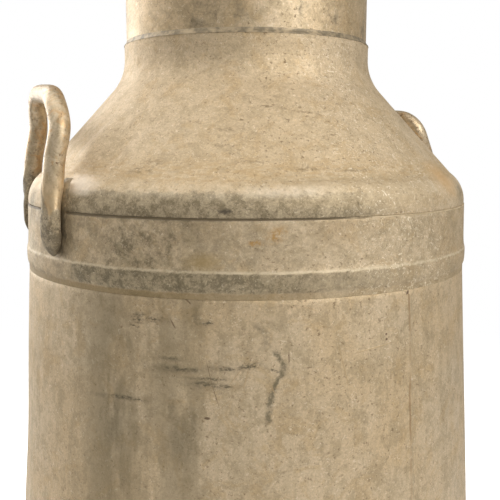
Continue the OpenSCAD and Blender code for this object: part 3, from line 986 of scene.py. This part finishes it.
def lay_roll_marks(paint, rubbed, rubbed_highlight):
    """The lip's roll: a painted highlight along its top where it is rubbed, a strong painted highlight at
    the left and a faint one in front, painted shade at the right where the key light's highlight falls,
    then an orange stain, with bright curls and a dark spot."""
    # painted highlight along the top of the roll, broken up where it is rubbed
    paint.coat(PALE, rubbed_highlight, 0.22)
    # painted shade at the right of the roll, where the key light's highlight falls
    paint.coat(OLIVE, paint.sector(8, 46, 10), paint.belt(421, 439, 3), 0.35)
    # painted highlights: a strong one at the left beside the handle and a faint one in front
    faint_highlight = paint.product(paint.blot((9, 430.5), (22, 2.6), 0, 0.8), 0.25)
    painted_highlights = paint.either(paint.blot((-40.5, 432.0), (12, 4.2), -6, 0.9), faint_highlight)
    paint.coat(HIGHLIGHT_CREAM, painted_highlights, paint.around(rubbed, 0.15, 0.8))
    curls = paint.patches(0.58, 0.605, 4.2, 5.0, 0.76, seed=33.0, warp=2.4)
    paint.coat(rgb(238, 224, 198), curls, paint.sector(22, 58, 8), 0.6)
    paint.coat(rgb(202, 162, 108), paint.blot((58, 434), (13, 8), 0, 0.9), 0.6)
    paint.coat(rgb(80, 70, 58), paint.blot((-3.9, 419.7), (3.4, 1.4), 0, 0.6), 0.8)


def shoulder_material():
    """Cone, roll and lip: grey speckled lip edge, roll with painted highlights and painted shade, scuffs
    and pitted patches.
    """
    paint = Paint("shoulder_tin")
    lay_worn_tin(paint, rgb(194, 172, 138), mottle=0.36, streak=3.0, seed=23.0)
    lay_lip_edge(paint)
    lay_cone_marks(paint)
    rubbed = paint.patches(0.34, 0.60, 9, 5.0, 0.7, seed=13.0)
    # band along the top of the roll: a painted highlight in its colour and a smoother finish
    rubbed_highlight = paint.product(paint.belt(426.5, 434, 2.0), rubbed)
    lay_roll_marks(paint, rubbed, rubbed_highlight)
    return paint.finish(paint.plus(paint.dullness(14, 19.0, 0.16, 0.60), rubbed_highlight, -0.04), 0.5)


def lay_bead(paint, left):
    """Grey speckled bead, in front and behind, with a pale crest line of rubbed wear and painted
    highlight, and a foot darkened by dirt and painted shadow under the bead.
    """
    azimuth = paint.azimuth
    edge = paint.plus(paint.height, paint.noise(7, 5.0, 0.72, seed=8.0), -3.0)
    above = paint.step(edge, BODY_TOP + 1.6, BODY_TOP + 3.0)
    bead = paint.product(paint.step(edge, BODY_TOP + 14.0, BODY_TOP + 13.0), above)
    front = paint.product(paint.step(azimuth, -43, -39.5), paint.step(azimuth, 56, -6))
    far = paint.step(paint.math("ABSOLUTE", azimuth), 70, 95)
    behind = paint.product(far, paint.patches(0.44, 0.54, 80, 2.0, seed=4.0))
    grey = paint.product(bead, paint.either(front, behind))
    clumps = lay_speckle(paint, grey, 61.0, rgb(110, 99, 75), rgb(166, 150, 120), 0.84)
    paint.emboss(paint.product(clumps, grey), 0.25)
    # pale crest line: rubbed wear and a painted highlight where the crest catches the light
    crest = paint.window(edge, BODY_TOP + 13.6, BODY_TOP + 14.8, 0.7)
    paint.coat(rgb(206, 190, 160), crest, paint.patches(0.30, 0.55, 6, 5.0, 0.7, seed=12.0), 0.75)
    # darker foot under the bead: painted shadow of the bead together with dirt, stronger at the left
    foot = paint.step(edge, BODY_TOP + 2.6, BODY_TOP + 1.4)
    paint.coat(rgb(146, 124, 84), foot, paint.around(left, 0.2, 0.45))


def lay_band_stains(paint):
    """Bright curls at the right, and rust and a yellow stain in the middle."""
    curls = paint.patches(0.575, 0.60, 4.0, 5.0, 0.76, seed=35.0, warp=2.4)
    paint.coat(rgb(236, 222, 194), curls, paint.sector(24, 55, 8), 0.7)
    rust = paint.blot((6.4, 406.7), (5, 3.4), 30, 0.9)
    rust = paint.either(rust, paint.blot((2.2, 402.0), (3.4, 1.4), 0, 0.9))
    paint.coat(rgb(172, 130, 62), rust, paint.patches(0.36, 0.60, 3, 5.0, 0.75, seed=26.0), 0.9)
    paint.coat(rgb(170, 142, 86), paint.blot((-8.3, 391.5), (9, 4), 0, 0.9), 0.5)


def band_material():
    """Breast band: grey patches, rust and yellow stains, speckled bead with a painted highlight on its
    crest and painted shadow under it, dirt in the top joint.
    """
    paint = Paint("band_metal")
    lay_worn_tin(paint, rgb(184, 161, 127), mottle=0.55, streak=2.0, seed=37.0)
    left = paint.step(paint.azimuth, 22, -22)
    heart = paint.product(paint.sector(-30, -13, 5), 0.35)
    share = paint.math("ADD", paint.around(left, 0.22, 0.42), heart)
    worn = paint.product(paint.patches(0.40, 0.60, 11, 6.0, 0.76, seed=5.0), share)
    lay_speckle(paint, worn, 51.0, rgb(112, 99, 73), rgb(154, 138, 107), 0.9)
    lay_bead(paint, left)
    lay_band_stains(paint)
    joint = paint.step(paint.height, BAND_TOP - 1.6, BAND_TOP - 0.2)
    paint.coat(DARK_TIN, joint, paint.around(left, 0.3, 0.45))
    return paint.finish(paint.dullness(12, 21.0, 0.16, 0.58), 0.45)


def plain_tin_material(name, seed):
    """Dull tin of the base, the neck and the lid, with rubbed grey places."""
    paint = Paint(name)
    lay_worn_tin(paint, streak=1.6, seed=seed)
    lay_speckle(paint, paint.patches(0.54, 0.66, 20, 5.0, 0.65, seed=seed + 2), seed + 20)
    return paint.finish(paint.dullness(12, seed + 4, 0.12, 0.47), 0.55)


def worn_steel(name, seed, rust_share):
    """Paint of worn steel, mostly tan, with brown stains and dark pits, and its roughness."""
    paint = Paint(name)
    coarse = paint.noise(8, 6.0, 0.7, seed=seed, warp=0.6)
    fine = paint.noise(1.1, 4.0, 0.72, seed=seed + 7)
    pits = paint.patches(0.60, 0.64, 2.4, 4.0, 0.74, seed=seed + 9)
    paint.colour = paint.mix(paint.step(coarse, 0.40, 0.58), rgb(172, 152, 120), rgb(198, 178, 147))
    stain = paint.patches(0.50, 0.60, 12, 6.0, 0.72, seed=seed + 2.5, warp=0.8)
    paint.coat(rgb(184, 146, 98), stain, rust_share)
    paint.coat(DARK_TIN, paint.patches(0.55, 0.61, 6, 6.0, 0.74, seed=seed + 5, warp=0.8), 0.3)
    paint.vary(fine, 0.3)
    paint.coat(rgb(104, 74, 46), pits, 0.7)
    for value, height in ((fine, 0.06), (coarse, 0.2), (pits, -0.2)):
        paint.emboss(value, height)
    return paint, paint.dullness(8, seed + 11, 0.14, 0.42)


def hoop_material():
    """Foot hoop: bare steel, rusty and dirty towards the ground."""
    paint, roughness = worn_steel("hoop_steel", 71.0, 0.8)
    creep = paint.plus(paint.height, paint.noise(10, 5.0, 0.65, seed=75.0), 16.0)
    rusty = paint.step(creep, 19, 9)
    paint.coat(RUST, rusty, 0.75)
    return paint.finish(paint.plus(roughness, rusty, 0.2), 0.5)


def handle_material(side, at):
    """Handle rod: rubbed and brown-stained above, with a tan tongue running out into dark tails."""
    paint, roughness = worn_steel(side + "_handle_steel", 83.0, 0.7)
    z = paint.plus(paint.height, paint.noise(4, 5.0, 0.72, seed=88.0), 6.0)
    turned = paint.apart(paint.azimuth, at)
    beside = paint.product(paint.math("SUBTRACT", turned, LEG_SPREAD), math.radians(BODY_R))
    tongue_half = paint.mapped(z, LIP_Z - 3, LIP_Z + 20, -0.6, 8.0)
    outside = paint.math("SUBTRACT", paint.apart(beside, 5.5), tongue_half)
    rim = paint.product(paint.step(beside, 0.5, -2.0), paint.window(z, LIP_Z - 6, LIP_Z + 19, 2))
    around = paint.product(paint.step(outside, -0.3, 0.8), paint.step(z, LIP_Z + 26, LIP_Z + 19))
    tail = paint.either(around, rim)
    tongue = paint.product(paint.step(outside, 0.0, -1.0), paint.step(z, LIP_Z + 30, LIP_Z + 16))
    paint.coat(rgb(212, 184, 142), tongue, 0.6)
    lay_speckle(paint, tail, 91.0, rgb(98, 86, 65), rgb(162, 146, 117), 0.9)
    paint.coat(DARK_TIN, paint.step(z, TAIL_FOOT + 12, TAIL_FOOT + 4), 0.5)
    return paint.finish(paint.plus(roughness, tail, 0.34), paint.plus(0.5, tail, -0.4))


def solder_material():
    """Dull grey solder, mottled and dirty."""
    paint = Paint("solder_metal")
    cloud = paint.noise(6, 5.0, 0.65, seed=97.0)
    fine = paint.noise(1.2, 3.0, 0.65, seed=98.0)
    paint.colour = paint.mix(paint.step(cloud, 0.38, 0.64), rgb(120, 108, 86), rgb(170, 152, 122))
    paint.vary(fine, 0.12)
    paint.emboss(fine, 0.08)
    paint.emboss(cloud, 0.3)
    return paint.finish(paint.around(fine, 0.1, 0.5), 0.5)


def lip_solder_material():
    """Solder in the joint under the lip: dark brown with dirt in front, tan where it is clean."""
    paint = Paint("lip_solder_metal")
    cloud = paint.noise(9, 5.0, 0.7, seed=94.0)
    turned = paint.plus(paint.azimuth, cloud, 30.0)
    dirty = paint.either(paint.step(turned, 47, 30), paint.step(turned, 110, 130))
    paint.colour = paint.mix(paint.step(cloud, 0.4, 0.6), rgb(178, 158, 124), rgb(204, 184, 150))
    paint.coat(rgb(94, 80, 57), dirty, 0.9)
    paint.emboss(cloud, 0.2)
    return paint.finish(0.6, 0.4)


def seam_material():
    """Solder run over the body seam: the wall's own tan, with a brown line down its middle."""
    paint = Paint("seam_solder")
    lay_worn_tin(paint, seed=11.0)
    wander = paint.noise(24, 2.0, 0.5, across=0.2, seed=101.0)
    offset = paint.math("ADD", paint.azimuth, paint.around(wander, 0.5, -SEAM_AZ))
    away = paint.math("ABSOLUTE", offset)
    paint.coat(rgb(150, 118, 78), paint.step(away, 0.42, 0.12), paint.step(wander, 0.2, 0.5), 0.6)
    return paint.finish(0.5, 0.5)


# ---- pieces
def make_can():
    """Every piece of the can. Returns the solder and the steel that the lid shares."""
    body_tin = body_material()
    solder = solder_material()
    hoop_steel = hoop_material()
    neck_tin = plain_tin_material("neck_tin", 45.0)
    base_tin = plain_tin_material("base_tin", 47.0)
    rounds = [
        # name, outline, facets round it, material, slot, and the CAD node it stands for
        ("body_sheet", body_outline(), SEGMENTS, body_tin, "tinned_sheet", "body_shell"),
        ("breast_band_ring", band_outline(), SEGMENTS, band_material(), "worn_band", "breast_band"),
        ("shoulder_sheet", shoulder_sheet_outline(), SEGMENTS, shoulder_material(),
         "tinned_sheet", "shoulder"),
        ("lip_solder_ring", lip_solder_outline(), SEGMENTS, lip_solder_material(),
         "solder", "shoulder_solder"),
        ("foot_hoop_ring", hoop_outline(), SEGMENTS, hoop_steel, "bare_steel", "foot_hoop"),
        ("base_dish", pan_outline(), BASE_SEGMENTS, base_tin, "tinned_sheet", "base_pan"),
        ("neck_tube", neck_outline(), NECK_SEGMENTS, neck_tin, "tinned_sheet", "neck"),
        ("neck_solder_ring", neck_solder_outline(), NECK_SEGMENTS, solder, "solder", "neck_solder"),
        ("mouth_roll", mouth_wire_outline(), NECK_SEGMENTS, neck_tin, "bare_steel", "mouth_wire"),
    ]
    for name, outline, segments, material, slot, node in rounds:
        finish_piece(lathe(name, outline, segments), material, "can", slot, node)
    seam = patch("seam_solder_run", SEAM_SIDES, wall_r, [SEAM_AZ])
    finish_piece(seam, seam_material(), "can", "solder", "body_seam")
    for side, azimuth, *bends in HANDLES:
        loop = handle(side + "_handle_rod", azimuth, *bends)
        finish_piece(loop, handle_material(side, azimuth), "can", "handle_rod", side + "_handle")
        at = [azimuth - LEG_SPREAD, azimuth + LEG_SPREAD]
        pads = patch(side + "_handle_solder_pads", PAD_SIDES, skin_r, at)
        finish_piece(pads, solder, "can", "solder", side + "_handle_solder")
    return solder, hoop_steel


def make_lid(solder, steel):
    """Every piece of the lid."""
    lid_tin = plain_tin_material("lid_tin", 57.0)
    plug = lathe("lid_plug_dish", plug_piece_outline(), NECK_SEGMENTS, True)
    finish_piece(plug, lid_tin, "lid", "tinned_sheet", "lid_plug")
    brim = lathe("lid_brim_ring", brim_outline(), NECK_SEGMENTS, True)
    finish_piece(brim, lid_tin, "lid", "tinned_sheet", "lid_brim")
    finish_piece(grip_bar("lid_grip_bar"), steel, "lid", "handle_rod", "lid_grip")
    finish_piece(grip_solder("lid_grip_solder_collars"), solder, "lid", "solder", "lid_grip_solder")


def dress_hidden_nodes(solder, steel):
    """The two CAD pieces that other pieces cover keep their shape and get real materials."""
    for node, material in (("base_solder", solder), ("lid_brim_wire", steel)):
        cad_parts[node].data.materials.clear()
        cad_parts[node].data.materials.append(material)


# ---- stage, light and camera
def make_floor():
    """A pale floor that fades into the white surround."""
    radius, fade_start, fade_end = 2.0, 0.5, 1.4
    mesh = bpy.data.meshes.new("floor")
    corners = [(-radius, -radius, 0), (radius, -radius, 0), (radius, radius, 0), (-radius, radius, 0)]
    mesh.from_pydata(corners, [], [(0, 1, 2, 3)])
    floor = in_scene("floor", mesh)
    paint = Paint("pale_floor")
    paint.feed(paint.shader.inputs["Base Color"], (0.93, 0.93, 0.925, 1))
    paint.feed(paint.shader.inputs["Roughness"], 0.8)
    paint.feed(paint.shader.inputs["Emission Color"], (1, 1, 1, 1))
    seen = paint.node("LightPath").outputs["Is Camera Ray"]
    paint.feed(paint.shader.inputs["Emission Strength"], paint.product(seen, 0.6))
    distance = paint.length(paint.place)
    paint.feed(paint.shader.inputs["Alpha"], paint.step(distance, fade_end, fade_start))
    mesh.materials.append(paint.material)


def make_world(strength):
    """White surround: bright to the eye, and a dimmer, even light on the object."""
    world = bpy.data.worlds.new("studio")
    world.use_nodes = True
    tree = world.node_tree
    background = tree.nodes["Background"]
    seen = tree.nodes.new("ShaderNodeLightPath")
    level = tree.nodes.new("ShaderNodeMapRange")
    level.inputs["To Min"].default_value = strength
    level.inputs["To Max"].default_value = 1.0
    tree.links.new(seen.outputs["Is Camera Ray"], level.inputs["Value"])
    tree.links.new(level.outputs[0], background.inputs["Strength"])
    background.inputs["Color"].default_value = (1, 1, 1, 1)
    bpy.context.scene.world = world


def softbox(name, azimuth, elevation, distance, size, power):
    """A rectangular studio light aimed at the can's shoulder."""
    data = bpy.data.lights.new(name, "AREA")
    data.shape = "RECTANGLE"
    data.size, data.size_y = size
    data.energy = power
    lamp = in_scene(name, data)
    turn, rise = math.radians(azimuth), math.radians(elevation)
    away = Vector((math.sin(turn) * math.cos(rise), -math.cos(turn) * math.cos(rise), math.sin(rise)))
    lamp.location = Vector((0, 0, LIP_Z * MM)) + away * distance
    lamp.rotation_euler = away.to_track_quat("Z", "Y").to_euler()
    lamp.visible_camera = False


def make_camera():
    """The camera: just above the lip's level, close to the front, looking slightly down."""
    data = bpy.data.cameras.new("camera")
    data.sensor_width = 36.0
    data.lens = 54.15
    data.clip_start, data.clip_end = 0.01, 50
    camera = in_scene("camera", data)
    aside, distance, height = 0.0186 * BODY_R * MM, 3.5744 * BODY_R * MM, (BODY_TOP + 86.4) * MM
    camera.location = (aside, -distance, height)
    looking_down, roll = 8.0, 0.12
    pitch = Matrix.Rotation(math.radians(90 - looking_down), 4, "X")
    camera.rotation_euler = (pitch @ Matrix.Rotation(math.radians(roll), 4, "Z")).to_euler()
    bpy.context.scene.camera = camera


SURROUND_LIGHT = 0.235
SOFTBOXES = [
    # name, azimuth, height in degrees, distance, (width, height), power
    ("key", 48, 32, 1.5, (1.1, 1.2), 21.5),
    ("overhead", 10, 80, 1.4, (1.3, 1.3), 4.2),
    ("left_top", -70, 58, 1.4, (1.0, 1.0), 6),
    ("left_side", -88, 14, 1.4, (0.6, 1.3), 3.3),
    ("rim", -125, 18, 1.4, (0.7, 1.3), 14.6),
]

make_camera()
make_floor()
make_world(SURROUND_LIGHT)
for light in SOFTBOXES:
    softbox(*light)
bpy.context.scene.view_settings.view_transform = "Standard"

solder_metal, hoop_metal = make_can()
make_lid(solder_metal, hoop_metal)
dress_hidden_nodes(solder_metal, hoop_metal)
